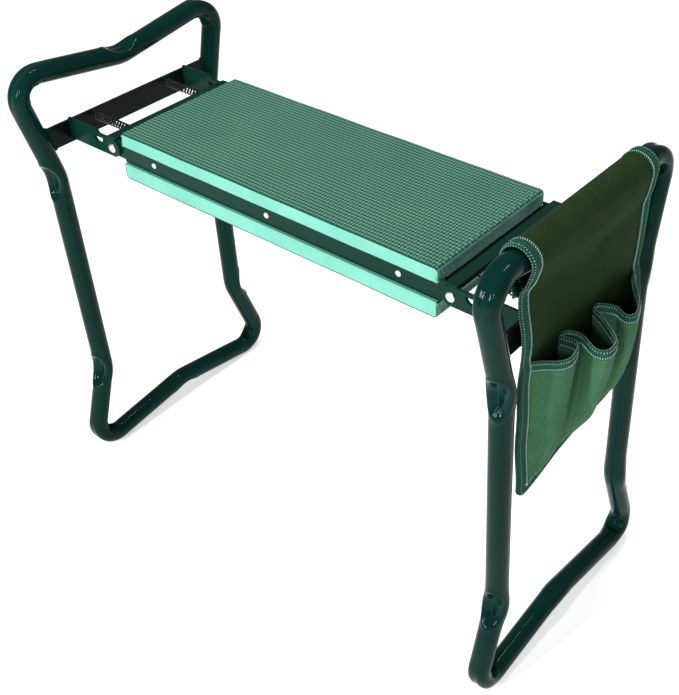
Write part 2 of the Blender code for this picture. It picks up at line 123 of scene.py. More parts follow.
def spline(points, per_span):
    """Open Catmull-Rom curve through the points."""
    pts = np.asarray(points, float)
    ext = np.vstack([2 * pts[0] - pts[1], pts, 2 * pts[-1] - pts[-2]])
    out = []
    for i in range(1, len(ext) - 2):
        p0, p1, p2, p3 = ext[i - 1], ext[i], ext[i + 1], ext[i + 2]
        for t in np.arange(per_span) / per_span:
            out.append(0.5 * (2 * p1 + (p2 - p0) * t + (2 * p0 - 5 * p1 + 4 * p2 - p3) * t ** 2
                              + (3 * p1 - p0 - 3 * p2 + p3) * t ** 3))
    out.append(pts[-1])
    return np.array(out)


def run_along(points):
    """Distance of each point from the start of the line."""
    return np.r_[0, np.cumsum(np.linalg.norm(np.diff(points, axis=0), axis=1))]


def respaced(points, count):
    """The same line with evenly spaced points, and its length."""
    points = np.asarray(points, float)
    along = run_along(points)
    wanted = np.linspace(0, along[-1], count)
    columns = [np.interp(wanted, along, column) for column in points.T]
    return np.stack(columns, 1), along[-1]


class Shell:
    """Collects grids of points into one mesh with several materials."""

    def __init__(self):
        self.points, self.faces, self.kinds, self.uvs, self.relief = [], [], [], [], []
        self.count = 0

    def grid(self, points, kind=0, wrap_rows=False, wrap_cols=False, flip=False,
             uv=None, relief=None):
        """Adds a grid of points as quads; kind is their material's number, or one a row."""
        rows, cols = points.shape[:2]
        index = np.arange(rows * cols).reshape(rows, cols) + self.count
        if wrap_rows:
            index = np.vstack([index, index[:1]])
        if wrap_cols:
            index = np.hstack([index, index[:, :1]])
        a, b = index[:-1, :-1].ravel(), index[:-1, 1:].ravel()
        c, d = index[1:, 1:].ravel(), index[1:, :-1].ravel()
        quads = np.stack([a, d, c, b] if flip else [a, b, c, d], 1)
        self.points.append(points.reshape(-1, 3))
        self.faces.extend(quads.tolist())
        self.kinds.extend(np.broadcast_to(kind, np.array(index.shape) - 1).ravel().tolist())
        self.uvs.append(np.zeros((rows * cols, 2)) if uv is None else uv.reshape(-1, 2))
        self.relief.append(np.ones(rows * cols) if relief is None else relief.ravel())
        self.count += rows * cols

    def cap(self, ring):
        """Closes a ring of vertex numbers with one face."""
        self.faces.append(list(ring))
        self.kinds.append(0)

    def build(self, name, materials, slot, solidify=0.0):
        mesh = bpy.data.meshes.new(name)
        mesh.from_pydata(np.vstack(self.points).tolist(), [], self.faces)
        mesh.polygons.foreach_set("material_index", self.kinds)
        mesh.polygons.foreach_set("use_smooth", [True] * len(self.faces))
        corner = np.zeros(len(mesh.loops), np.int32)
        mesh.loops.foreach_get("vertex_index", corner)
        flat = np.vstack(self.uvs)[corner]
        mesh.uv_layers.new(name="UVMap").data.foreach_set("uv", flat.ravel())
        layer = mesh.attributes.new("relief", "FLOAT", "POINT")
        layer.data.foreach_set("value", np.concatenate(self.relief).astype(np.float32))
        for material in materials:
            mesh.materials.append(material)
        mesh.validate()
        obj = bpy.data.objects.new(name, mesh)
        bpy.context.scene.collection.objects.link(obj)
        if solidify:
            modifier = obj.modifiers.new("thickness", "SOLIDIFY")
            modifier.thickness = solidify
            modifier.offset = 0.0
            modifier.use_rim = True
        return obj


def add_piece(shell, name, material, slot, body, node=None, solidify=0.0):
    """Builds a piece that rides on a body and may stand for a CAD node."""
    obj = shell.build(name, [material], slot, solidify)
    if node:
        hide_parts(node)
    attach(obj, body)
    return obj


def round_angles(sides):
    return np.linspace(0, 2 * math.pi, sides, endpoint=False)


def sweep(centres, radius, sides):
    """Rings of a round wire along a line; radius may be an array."""
    along = unit(np.gradient(centres, axis=0))
    normals = [unit(np.cross(along[0], (0, 0, 1)))]
    for step in along[1:]:
        normals.append(unit(normals[-1] - step * (normals[-1] @ step)))
    normals = np.array(normals)
    binormals = np.cross(along, normals)
    angle = round_angles(sides)[None, :, None]
    radius = np.broadcast_to(np.asarray(radius, float), (len(centres),))[:, None, None]
    around = normals[:, None] * np.cos(angle) + binormals[:, None] * np.sin(angle)
    return centres[:, None] + around * radius


def dome(ring, behind, size):
    """Two rings, from the tip back, that close the end of a wire."""
    centre = ring.mean(0)
    out = unit(centre - behind.mean(0)) * size
    tip = np.repeat((centre + out * 0.55)[None], len(ring), 0)
    return [tip, centre + (ring - centre) * 0.6 + out * 0.45]


def add_wire(shell, centres, radius, sides):
    """A round wire whose ends close in small domes."""
    rings = sweep(np.asarray(centres, float), radius, sides)
    size = np.linalg.norm(rings[0, 0] - rings[0].mean(0))
    start = dome(rings[0], rings[1], size)
    end = dome(rings[-1], rings[-2], size)
    shell.grid(np.concatenate([start, rings, end[::-1]]), wrap_cols=True)


def lathe(shell, profile, centre, axis_y, sides, closed=False):
    """Spins (radius, distance along Y) pairs about an axis along Y; axis_y is its direction."""
    angle = round_angles(sides)
    rings = []
    for radius, depth in profile:
        rings.append(np.stack([
            centre.x + radius * np.cos(angle),
            np.full(sides, axis_y * depth),
            centre.z + radius * np.sin(angle),
        ], 1))
    shell.grid(np.array(rings), wrap_rows=closed, wrap_cols=True, flip=axis_y > 0)


# ---- materials
class Finish:
    """A node material round one Principled shader."""

    def __init__(self, name, roughness, metallic=0.0, **sockets):
        self.material = bpy.data.materials.new(name)
        self.material.use_nodes = True
        self.tree = self.material.node_tree
        self.shader = self.tree.nodes["Principled BSDF"]
        self.shader.inputs["Roughness"].default_value = roughness
        self.shader.inputs["Metallic"].default_value = metallic
        for socket, value in sockets.items():
            self.shader.inputs[socket.replace("_", " ")].default_value = value
        self.place = self.add("ShaderNodeTexCoord")
        self.height = None

    def add(self, kind, links=None, **settings):
        node = self.tree.nodes.new(kind)
        for key, value in settings.items():
            if key in node.bl_rna.properties:
                setattr(node, key, value)
            else:
                node.inputs[key.replace("_", " ")].default_value = value
        for socket, source in (links or {}).items():
            self.tree.links.new(source, node.inputs[socket])
        return node

    def noise(self, scale, detail):
        return self.add("ShaderNodeTexNoise", {"Vector": self.place.outputs["Object"]},
                        Scale=scale, Detail=detail).outputs["Fac"]

    def ramp(self, source, stops):
        node = self.add("ShaderNodeValToRGB", {"Fac": source})
        ramp = node.color_ramp
        while len(ramp.elements) < len(stops):
            ramp.elements.new(0.5)
        for element, (place, color) in zip(ramp.elements, stops):
            element.position = place
            element.color = (*color, 1.0)
        return node.outputs["Color"]

    def mottle(self, scale, detail, low, high, places=(0.3, 0.7)):
        """A colour that drifts between two tones."""
        return self.ramp(self.noise(scale, detail), list(zip(places, (low, high))))

    def connect(self, value, socket):
        if isinstance(value, bpy.types.NodeSocket):
            self.tree.links.new(value, socket)
        else:
            socket.default_value = value

    def math(self, operation, first, second=0.0):
        node = self.add("ShaderNodeMath", operation=operation)
        self.connect(first, node.inputs[0])
        self.connect(second, node.inputs[1])
        return node.outputs[0]

    def multiply(self, first, second):
        """Product of two colours."""
        node = self.add("ShaderNodeMix", data_type="RGBA", blend_type="MULTIPLY")
        for index, value in ((0, 1.0), (6, first), (7, second)):
            self.connect(value, node.inputs[index])
        return node.outputs[2]

    def color(self, source):
        self.tree.links.new(source, self.shader.inputs["Base Color"])

    def rough(self, source, low, high):
        node = self.add("ShaderNodeMapRange", {"Value": source}, To_Min=low, To_Max=high)
        self.tree.links.new(node.outputs["Result"], self.shader.inputs["Roughness"])

    def bump(self, source, distance, strength=1.0):
        """Adds fine relief on top of any added before."""
        links = {"Height": source}
        if self.height is not None:
            links["Normal"] = self.height
        node = self.add("ShaderNodeBump", links, Strength=strength, Distance=distance)
        self.height = node.outputs["Normal"]
        self.tree.links.new(self.height, self.shader.inputs["Normal"])


def make_plain(name, roughness, tones, rough=None, relief=None, metallic=0.0, **sockets):
    """A mottled colour with uneven roughness and fine relief, each from its own noise."""
    f = Finish(name, roughness, metallic, **sockets)
    f.color(f.mottle(*tones))
    if rough:
        scale, detail, low, high = rough
        f.rough(f.noise(scale, detail), low, high)
    if relief:
        scale, detail, distance, strength = relief
        f.bump(f.noise(scale, detail), distance, strength)
    return f.material


def make_enamel(name, low, high, roughness, shine):
    """Glossy paint: slight colour drift, faint scuffs and orange peel."""
    return make_plain(name, roughness, (9.0, 3.0, low, high, (0.30, 0.72)),
                      (55.0, 4.0, roughness * 0.7, roughness * 1.5), (420.0, 1.0, 0.00002, 0.4),
                      Specular_IOR_Level=shine)


def make_cut_foam():
    """Cut edge of closed-cell foam: pale, with tiny cells and a slight waviness."""
    f = Finish("cut_foam", 0.82, Specular_IOR_Level=0.25)
    vector = {"Vector": f.place.outputs["Object"]}
    cells = f.add("ShaderNodeTexVoronoi", vector, Scale=1100.0).outputs["Distance"]
    tone = f.mottle(22.0, 4.0, (0.150, 0.475, 0.370), (0.198, 0.550, 0.440), (0.30, 0.75))
    specks = f.ramp(cells, [(0.0, (0.80, 0.86, 0.85)), (0.45, (1.0, 1.0, 1.0))])
    f.color(f.multiply(tone, specks))
    f.bump(f.noise(160.0, 3.0), 0.00025, 0.5)
    f.bump(cells, 0.00012, 0.5)
    return f.material


def make_foam_skin():
    """Embossed top skin: the grooves are painted darker than the raised parts, as painted shade in
    the recesses.
    """
    f = Finish("embossed_foam_skin", 0.50, Specular_IOR_Level=0.15)
    relief = f.add("ShaderNodeAttribute", attribute_name="relief").outputs["Fac"]
    # colour follows the emboss height: painted shade in the grooves, paler on the raised parts
    base = f.ramp(relief, [(0.08, (0.004, 0.058, 0.036)), (0.38, (0.040, 0.146, 0.106)),
                           (0.85, (0.180, 0.380, 0.294))])
    f.color(f.multiply(base, f.mottle(14.0, 3.0, (0.88, 0.93, 0.92), (1.05, 1.02, 1.0))))
    f.rough(f.noise(300.0, 2.0), 0.48, 0.66)
    f.bump(f.noise(900.0, 3.0), 0.00008, 0.6)
    return f.material


def make_foam_wrap():
    """The same skin drawn smooth over the pad's end."""
    f = Finish("drawn_foam_skin", 0.36, Specular_IOR_Level=0.30)
    streak = f.noise(60.0, 4.0)
    f.color(f.ramp(streak, [(0.30, (0.110, 0.300, 0.240)), (0.70, (0.215, 0.450, 0.370))]))
    f.rough(streak, 0.34, 0.52)
    f.bump(f.noise(240.0, 3.0), 0.00018, 0.6)
    return f.material


def weave_height(f, pitch):
    """Plain weave over the cloth's own flat coordinates, in metres."""
    split = f.add("ShaderNodeSeparateXYZ", {"Vector": f.place.outputs["UV"]})
    warp = f.math("SINE", f.math("MULTIPLY", split.outputs["X"], math.pi / pitch))
    weft = f.math("SINE", f.math("MULTIPLY", split.outputs["Y"], math.pi / pitch))
    cross = f.math("MULTIPLY", warp, weft)
    high_warp = f.math("MULTIPLY", f.math("ABSOLUTE", warp), f.math("ADD", cross, 1.0))
    high_weft = f.math("MULTIPLY", f.math("ABSOLUTE", weft), f.math("SUBTRACT", 1.0, cross))
    return f.math("MULTIPLY", f.math("MAXIMUM", high_warp, high_weft), 0.55)


def make_cloth(name, dark, light, pitch, sheen):
    """Woven polyester: thread relief, uneven dye and a faint bloom at grazing angles."""
    f = Finish(name, 0.78, Specular_IOR_Level=0.06, Sheen_Weight=sheen, Sheen_Roughness=0.45)
    thread = weave_height(f, pitch)
    # darker between the threads: painted shade in the weave's grooves
    tone = f.ramp(thread, [(0.05, dark), (0.85, light)])
    drift = f.mottle(30.0, 4.0, (0.84, 0.86, 0.84), (1.10, 1.08, 1.08), (0.28, 0.72))
    slub = f.mottle(420.0, 3.0, (0.82, 0.84, 0.82), (1.12, 1.10, 1.10))
    f.color(f.multiply(f.multiply(tone, drift), slub))
    f.bump(f.noise(90.0, 3.0), 0.00035, 0.35)
    f.bump(thread, 0.00022, 0.8)
    return f.material


# each enamel: darker and lighter tone, roughness, shine
TUBE_ENAMEL = make_enamel("tube_enamel", (0.0009, 0.0190, 0.0152), (0.0018, 0.0270, 0.0217),
                          0.05, 0.075)
BRACKET_ENAMEL = make_enamel("bracket_enamel", (0.0025, 0.0270, 0.0190),
                             (0.0045, 0.0350, 0.0255), 0.18, 0.05)
# near-black tones: painted shade for the cross bars, which face away from the light
CROSS_BAR_SHADE_ENAMEL = make_enamel("cross_bar_painted_shade_enamel", (0.0010, 0.0045, 0.0036), (0.0020, 0.0080, 0.0065),
                          0.22, 0.09)
# plain finishes: roughness; scale, detail and two tones of the colour; scale, detail, low and
# high of the roughness; scale, detail, height and strength of the relief
ZINC = make_plain("bright_zinc", 0.36,
                  (260.0, 3.0, (0.60, 0.62, 0.62), (0.82, 0.84, 0.84), (0.35, 0.65)),
                  (700.0, 2.0, 0.28, 0.46), (1500.0, 2.0, 0.00003, 0.5), metallic=1.0)
SPRING_WIRE = make_plain("oiled_spring_wire", 0.28,
                         (400.0, 2.0, (0.010, 0.012, 0.011), (0.034, 0.038, 0.036)),
                         (900.0, 2.0, 0.20, 0.40), metallic=0.85)
THREAD = make_plain("pale_thread", 0.62,
                    (1300.0, 2.0, (0.240, 0.470, 0.380), (0.560, 0.800, 0.690)), Sheen_Weight=0.3)
BOARD = make_plain("core_board", 0.8, (70.0, 5.0, (0.10, 0.065, 0.04), (0.19, 0.13, 0.08)),
                   relief=(300.0, 4.0, 0.0002, 0.5))
CUT_FOAM = make_cut_foam()
FOAM_SKIN = make_foam_skin()
FOAM_WRAP = make_foam_wrap()
# each cloth: groove tone (painted shade between the threads) and thread tone, thread pitch, sheen
PANEL_CLOTH = make_cloth("panel_cloth", (0.0045, 0.0135, 0.0033), (0.0270, 0.0570, 0.0185),
                         1.6 * MM, 0.0)
POCKET_CLOTH = make_cloth("pocket_cloth", (0.014, 0.062, 0.027), (0.080, 0.212, 0.110),
                          1.6 * MM, 0.02)
TAPE_CLOTH = make_cloth("binding_tape", (0.002, 0.012, 0.008), (0.030, 0.120, 0.086),
                        2.0 * MM, 0.0)


# ---- tube loops
# kinds of corner round the loop, from the middle of its foot
CORNER_KINDS = ["middle", "tight", "side", "side", "tight"] * 2
TUBE_STEP = 1.6 * MM
TUBE_SIDES = 56


def loop_line():
    """Closed centreline (y, z) and its bends as (point number, bends outwards, corner)."""
    corners = [(0.0, FLOOR_MID_Z)] + [(-y, z) for y, z in HALF_LOOP]
    corners += [(0.0, HANDLE_MID_Z)] + HALF_LOOP[::-1]
    radii = [MID_BEND_R] + HALF_BEND_R + [MID_BEND_R] + HALF_BEND_R[::-1]
    corners = np.array(corners)
    line, bends = [], []
    for i, here in enumerate(corners):
        back = unit(corners[i - 1] - here)
        ahead = unit(corners[(i + 1) % len(corners)] - here)
        turn = math.pi - math.acos(back @ ahead)
        centre = here + unit(back + ahead) * radii[i] / math.cos(turn / 2)
        start = here + back * radii[i] * math.tan(turn / 2) - centre
        end = here + ahead * radii[i] * math.tan(turn / 2) - centre
        steps = max(4, int(turn / math.radians(1.5)))
        bends_out = back[1] * ahead[0] - back[0] * ahead[1] > 0
        bends.append((len(line) + steps // 2, bends_out, i))
        for share in np.arange(steps + 1) / steps:
            arc = start * math.sin((1 - share) * turn) + end * math.sin(share * turn)
            line.append(centre + arc / math.sin(turn))
    line = np.array(line)
    line[:, 1] += TUBE_LOW.z + TUBE_R - line[:, 1].min()
    return line, bends


def even_loop():
    """The loop at even steps: points, outward normals, places along it, length and bends."""
    line, bends = loop_line()
    closed = np.vstack([line, line[:1]])
    along = run_along(closed)
    length = along[-1]
    places = np.linspace(0, length, int(length / TUBE_STEP), endpoint=False)
    even = np.stack([np.interp(places, along, closed[:, k]) for k in (0, 1)], 1)
    forward = unit(np.roll(even, -1, 0) - np.roll(even, 1, 0))
    outward = np.stack([-forward[:, 1], forward[:, 0]], 1)
    return even, outward, places, length, [(along[j], out, corner) for j, out, corner in bends]


LOOP, LOOP_OUTWARD, LOOP_PLACES, LOOP_LENGTH, LOOP_BENDS = even_loop()

# press marks inside each kind of bend: depth, half length, half width (radians), crest height
DISHES = {
    "middle": (4.4 * MM, 22 * MM, 1.15, 0.0),
    "side": (7.4 * MM, 24 * MM, 1.15, 0.34),
    "tight": (5.2 * MM, 16 * MM, 1.05, 0.0),
}
CORNER_GROOVE = (2.3 * MM, 24 * MM, 0.42)   # on the outside of a tight corner
DISH_TURN = 0.18                            # radians by which every press mark faces +X


def wrap_angle(angle):
    return (angle + math.pi) % (2 * math.pi) - math.pi


def dish(along, around, depth, half_length, half_width, ridge):
    """Smooth bowl with a raised rim and a crest that splits its lower half."""
    reach = np.sqrt((along / half_length) ** 2 + (around / half_width) ** 2)
    bowl = depth * (1 - smooth_step(0.50, 1.0, reach))
    rim = 0.10 * depth * bell((reach - 1.06) / 0.10)
    rim += 0.30 * depth * bell((np.abs(around) - 1.55) / 0.45) * bell(along / (0.75 * half_length))
    crest = ridge * depth * bell(around / 0.22)
    crest = crest * bell((along + 0.40 * half_length) / (0.40 * half_length))
    return rim + crest * (reach < 1.4) - bowl


def loop_radius(angle):
    """Radius of the tube at each place along the loop and angle round it."""
    radius = np.full((len(LOOP_PLACES), len(angle)), TUBE_R)
    for place, bends_out, corner in LOOP_BENDS:
        along = (LOOP_PLACES - place + LOOP_LENGTH / 2) % LOOP_LENGTH - LOOP_LENGTH / 2
        inside = 0.0 if bends_out else math.pi
        down = 1.0 if corner < 5 else -1.0
        around = wrap_angle(angle - inside - DISH_TURN * math.cos(inside))
        kind = CORNER_KINDS[corner]
        radius += dish(along[:, None] * down, around[None, :], *DISHES[kind])
        if kind == "tight":
            depth, half_length, half_width = CORNER_GROOVE
            far = np.abs(wrap_angle(angle - inside - math.pi))[None, :]
            fade = np.exp(-np.abs(along / half_length) ** 3)[:, None]
            radius -= depth * bell(far / half_width) * fade
            radius += 0.30 * depth * bell((far - 0.85) / 0.30) * fade
    return radius


def make_tube_loop(end):
    angle = round_angles(TUBE_SIDES)
    radius = loop_radius(angle)
    out = radius * np.cos(angle)
    points = np.stack([
        LOOP_X[end] + radius * np.sin(angle),
        LOOP[:, :1] + LOOP_OUTWARD[:, :1] * out,
        LOOP[:, 1:] + LOOP_OUTWARD[:, 1:] * out,
    ], -1)
    shell = Shell()
    shell.grid(points, wrap_rows=True, wrap_cols=True, flip=True)
    add_piece(shell, f"{end}_bent_tube", TUBE_ENAMEL, "tube_enamel", f"{end}_frame",
              f"{end}_frame_tube")


# ---- welds
WELD_SINK = 1.0 * MM      # the beads lie this far inside the parts' edges
RIPPLE = 1.9 * MM


def bead(shell, line, radius, seed):
    """Rippled weld bead along a line."""
    line, length = respaced(line, max(8, int(run_along(line)[-1] / (0.5 * MM))))
    place = np.linspace(0, length, len(line))
    ripple = 1 + 0.20 * np.sin(place / RIPPLE * 2 * math.pi) + 0.16 * lumps(line, 5 * MM, seed)
    add_wire(shell, line, radius * ripple, 10)


def make_welds(end):
    """Beads where the cross bar meets the legs and where the ears meet the cross bar."""
    shell = Shell()
    x = LOOP_X[end]
    low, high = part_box(f"{end}_cross_bar")
    half_thick = half_x(f"{end}_cross_bar")
    (knee_y, knee_z), (top_y, top_z) = HALF_LOOP[2:]
    lean = (top_y - knee_y) / (top_z - knee_z)
    edge_y = high.y - WELD_SINK
    for side_y in (-1, 1):
        for face in (-1, 1):
            levels = np.linspace(low.z - 0.5 * MM, high.z + 0.5 * MM, 12)
            line = [(x + face * half_thick, side_y * (edge_y - (high.z - z) * lean), z)
                    for z in levels]
            bead(shell, np.array(line), 1.5 * MM, 11 + face + 2 * side_y)
        top = [(x + t * half_thick, side_y * edge_y, high.z) for t in (-1, -0.3, 0.3, 1)]
        bead(shell, np.array(top), 1.6 * MM, 21 + side_y)
    face_x = x - SIDES[end] * half_thick
    for label, side_y in ENDS.items():
        ear_low, ear_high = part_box(f"{end}_{label}_ear")
        levels = np.linspace(ear_low.z + 1.5 * MM, min(high.z, ear_high.z) - WELD_SINK, 10)
        for y in (ear_low.y, ear_high.y):
            line = np.array([(face_x, y, z) for z in levels])
            bead(shell, line, 1.1 * MM, 31 + side_y)
    add_piece(shell, f"{end}_weld_beads", BRACKET_ENAMEL, "bracket_enamel", f"{end}_frame")


# ---- rivets and washers
# profiles of a rivet's domed head and of a pivot's cupped head, from the rim to the axis:
# (share of the radius, share of the height)
DOMED_HEAD = [(1.0, 0.0), (1.0, 0.28), (0.96, 0.48), (0.84, 0.72), (0.64, 0.89), (0.36, 0.98),
              (0.0, 1.0)]
CUPPED_HEAD = [(1.0, 0.30), (0.95, 0.55), (0.82, 0.80), (0.66, 0.94), (0.52, 1.0), (0.42, 0.93),
               (0.34, 0.66), (0.20, 0.52), (0.0, 0.48)]
ROLLED_TAIL = [(0.0, 0.0), (3.0, 0.0), (4.2, 0.5), (4.5, 1.5), (3.0, 1.7)]   # radius, height, mm
PIVOT_HOLE_R = 3.1 * MM


def head_profile(shape, radius, seat, height):
    return [(radius * r, seat + height * h) for r, h in shape]


def make_rivets():
    for label, side_y in ENDS.items():
        seat = span_y(f"{label}_rail")[1]
        for place in ("left", "middle", "right"):
            node = f"{label}_rail_{place}_rivet"
            shank = [(0.0, seat - 9 * MM), (1.4 * MM, seat - 9 * MM), (1.5 * MM, seat)]
            head = head_profile(DOMED_HEAD, half_x(node), seat, span_y(node)[1] - seat)
            shell = Shell()
            lathe(shell, shank + head, middle(node), side_y, 28)
            add_piece(shell, node + "_head", ZINC, "zinc_steel", "seat", node)


def pivot_profile(node, seat):
    """Rolled tail, shank, and a head with a rolled rim round a shallow cup."""
    tail, top = span_y(node)
    head_r = half_x(node)
    rolled = [(r * MM, tail + h * MM) for r, h in ROLLED_TAIL]
    shank = rolled + [(3.0 * MM, seat), (head_r, seat + 0.1 * MM)]
    return shank + head_profile(CUPPED_HEAD, head_r, seat, top - seat)


def washer_profile(node):
    inner, outer = span_y(node)
    wide = half_x(node)
    return [(PIVOT_HOLE_R, inner), (wide - 0.2 * MM, inner), (wide, inner + 0.15 * MM),
            (wide, outer - 0.15 * MM), (wide - 0.2 * MM, outer), (PIVOT_HOLE_R, outer)]


def make_pivots(end):
    """At each ear a tubular rivet, and a flat washer behind it."""
    for label, side_y in ENDS.items():
        node = f"{end}_{label}_pivot_rivet"
        washer = f"{end}_{label}_pivot_washer"
        centre = middle(node)
        shell = Shell()
        lathe(shell, pivot_profile(node, span_y(f"{end}_{label}_ear")[1]), centre, side_y, 48)
        add_piece(shell, f"{end}_{label}_pivot_stud", ZINC, "zinc_steel", f"{end}_frame", node)
        shell = Shell()
        lathe(shell, washer_profile(washer), centre, side_y, 40, closed=True)
        add_piece(shell, washer + "_ring", ZINC, "zinc_steel", f"{end}_frame", washer)


# ---- springs
SPRING_COILS = 12
WIRE_R = 0.85 * MM
WIRE_SIDES = 8


def spring_line(at, radius, near, far, bar):
    """Lead, coil and hook; at(x, dy, dz) is a point x from the seat's middle."""
    turns = np.linspace(0, SPRING_COILS * 2 * math.pi, SPRING_COILS * 20)
    start_x, end_x = near + 5 * MM, far - 6 * MM
    coil_x = start_x + (end_x - start_x) * turns / turns[-1]
    coil = [at(x, radius * math.cos(t), radius * math.sin(t)) for x, t in zip(coil_x, turns)]
    lead = [at(start_x - 4.4 * MM), at(start_x - 2.2 * MM, radius * 0.3), coil[0]]
    hook = [coil[-1], at(end_x + 1.2 * MM, radius * 0.5, 0.5 * MM), at(end_x + 2.6 * MM),
            at(bar), at(bar + 2.4 * MM, 0.0, -0.6 * MM), at(bar + 3.0 * MM, 0.0, -3.4 * MM),
            at(bar + 2.3 * MM, 0.0, -6.0 * MM)]
    return np.vstack([spline(lead, 6)[:-1], coil, spline(hook, 6)[1:]])


def make_springs(end):
    """Coils hooked over the cross bar, and plain shanks from them to the lock bar."""
    side = SIDES[end]
    bar = abs(LOOP_X[end] - SEAT_X)
    for label in ENDS:
        node = f"{end}_{label}_spring"
        low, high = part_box(node)
        centre = middle(node)
        near, far = sorted((abs(low.x - SEAT_X), abs(high.x - SEAT_X)))

        def at(x, dy=0.0, dz=0.0):
            return SEAT_X + side * x, centre.y + dy, centre.z + dz

        shell = Shell()
        radius = (high.z - low.z) / 2 - 0.6 * MM
        add_wire(shell, spring_line(at, radius, near, far, bar), WIRE_R, WIRE_SIDES)
        coil = shell.build(f"{end}_{label}_coil_spring", [SPRING_WIRE], "spring_steel")
        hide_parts(node)
        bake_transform(coil)
        shank = [at(near - 9 * MM, 0.0, 4.6 * MM), at(near - 5.5 * MM, 0.0, 4.4 * MM),
                 at(near - 2.2 * MM, 0.0, 1.2 * MM), at(near + 1.0 * MM), at(near + 14 * MM)]
        shell = Shell()
        add_wire(shell, spline(shank, 8), WIRE_R, WIRE_SIDES)
        add_piece(shell, f"{end}_{label}_spring_eye", SPRING_WIRE, "spring_steel", f"{end}_lock")


# ---- pads
EMBOSS_PITCH = (3.4 * MM, 4.55 * MM)
EMBOSS_DEPTH = 0.75 * MM
SKIN_STEP = (0.68 * MM, 0.758 * MM)
EDGE_R = 5.0 * MM
WRAP_STEP = 0.9 * MM
LEDGE = 2.0 * MM         # the lower pad stands out past the rails
WRAP_FROM = 1.9 * MM     # below this the skin is drawn smooth
SKIN_LIP = 0.5 * MM
EDGE_SAG = 0.5 * MM
END_HOLLOW = 1.2 * MM
FOLD_HEIGHT = 0.62 * MM
FOLD_DROP = 0.30 * MM
FOLD_PITCH = 1.10 * MM   # per radian


def emboss(x, y):
    """Plain weave of raised dashes along X and Y by turns: 0 between them, 1 on top."""
    i, j = np.round(x / EMBOSS_PITCH[0]), np.round(y / EMBOSS_PITCH[1])
    dx, dy = x / EMBOSS_PITCH[0] - i, y / EMBOSS_PITCH[1] - j
    along_x = bell((dx / 0.52) ** 3) * bell(dy / 0.24)
    along_y = bell((dy / 0.52) ** 3) * bell(dx / 0.27)
    return np.where((i + j) % 2 < 0.5, along_x, along_y)


def wrap_profile(half, drop):
    """A pad's skin from end to end: (x, height below the face, distance along the skin)."""
    flat = np.arange(0.0, half - EDGE_R, SKIN_STEP[0])
    angle = np.linspace(0, math.pi / 2, 6)
    down = np.arange(EDGE_R + WRAP_STEP, drop, WRAP_STEP)
    end_x = np.full(len(down) + 1, half)
    x = np.concatenate([flat, half - EDGE_R + EDGE_R * np.sin(angle), end_x])
    below = np.concatenate([np.zeros(len(flat)), EDGE_R * (1 - np.cos(angle)), down, [drop]])
    run = np.r_[0, np.cumsum(np.hypot(np.diff(x), np.diff(below)))]
    order = np.r_[np.arange(len(x) - 1, 0, -1), np.arange(len(x))]
    sign = np.r_[-np.ones(len(x) - 1), np.ones(len(x))]
    return x[order] * sign, below[order], run[order] * sign


def end_folds(points, y, drop, half_y):
    """Small drawn folds on the pad's ends, near its corners."""
    near_corner = bell((np.abs(y) - half_y) / (20 * MM)) * smooth_step(1 * MM, 6 * MM, drop)
    phase = y * 1.1 + drop * 0.55 * np.sign(y) + 2.6 * MM * lumps(points, 16 * MM, 5)
    return near_corner * (FOLD_HEIGHT * np.sin(phase / FOLD_PITCH) - FOLD_DROP)


def pad_skin(shell, centre_x, half_length, half_y, face_z, thick, up):
    """Adds the embossed face with its drawn ends; returns its points."""
    x, below, run = wrap_profile(half_length, thick - 0.6 * MM)
    count = len(np.arange(-half_y, half_y + 1e-9, SKIN_STEP[1]))
    x, y = np.meshgrid(x, np.linspace(-half_y, half_y, count), indexing="ij")
    drop = np.repeat(below[:, None], count, 1)
    edge_y = smooth_step(0.0, 2.6 * MM, half_y - np.abs(y))
    on_top = 1 - smooth_step(0.2 * MM, 4.0 * MM, drop)
    relief = emboss(np.repeat(run[:, None], count, 1), y)
    relief = relief * (0.25 + 0.75 * edge_y) * (0.12 + 0.88 * on_top)
    points = np.stack([centre_x + x, y, np.full_like(y, face_z) - up * drop], -1)
    lift = (relief - 1.0) * EMBOSS_DEPTH * on_top
    lift -= EDGE_SAG * (1 - edge_y) ** 2
    lift -= END_HOLLOW * bell((drop - 0.55 * thick) / (0.28 * thick)) * (drop > 1 * MM)
    lift += 0.22 * MM * lumps(points, 70 * MM, 3)
    lift += end_folds(points, y, drop, half_y)
    normal_x = np.sign(x) * smooth_step(0.0, EDGE_R, drop)
    points[..., 0] += normal_x * lift
    points[..., 2] += up * np.sqrt(1 - normal_x ** 2) * lift
    kinds = np.where(below[:-1] > WRAP_FROM, 2, 1)[:, None]
    # the emboss height is also the skin's colour: painted shade in its grooves
    shell.grid(points, kinds, flip=up < 0, relief=np.clip(relief * 0.95 + 0.04, 0, 1))
    return points


def pad_side(shell, edge, side_y, base_z, thick, up):
    """Adds a long side: a lip of skin under the edge, then the cut foam."""
    rows = []
    for level in np.linspace(0, 1, 16):
        z = edge[:, 2] + (base_z - edge[:, 2]) * level
        depth = np.abs(z - edge[:, 2])
        row = np.stack([edge[:, 0], edge[:, 1], z], -1)
        lip = 1 - smooth_step(SKIN_LIP, SKIN_LIP + 0.8 * MM, depth)
        lip = SKIN_LIP * lip * smooth_step(0, 0.4 * MM, depth)
        tuck = 0.6 * MM * bell((1 - level) * thick / (1.2 * MM))
        saw = 0.16 * MM * lumps(row, 45 * MM, 9) + 0.05 * MM * lumps(row, 6 * MM, 10)
        row[:, 1] += side_y * (lip - tuck + saw * smooth_step(0.0, 0.2, level))
        rows.append(row)
    rows = np.array(rows)
    flip = (side_y < 0) == (up > 0)
    # the skin's lip takes the dark groove tone: the skin's own edge, plus painted shade along it
    shell.grid(rows[:2], 1, flip=flip, relief=np.full(rows[:2].shape[:2], 0.10))
    shell.grid(rows[1:], 0, flip=flip)


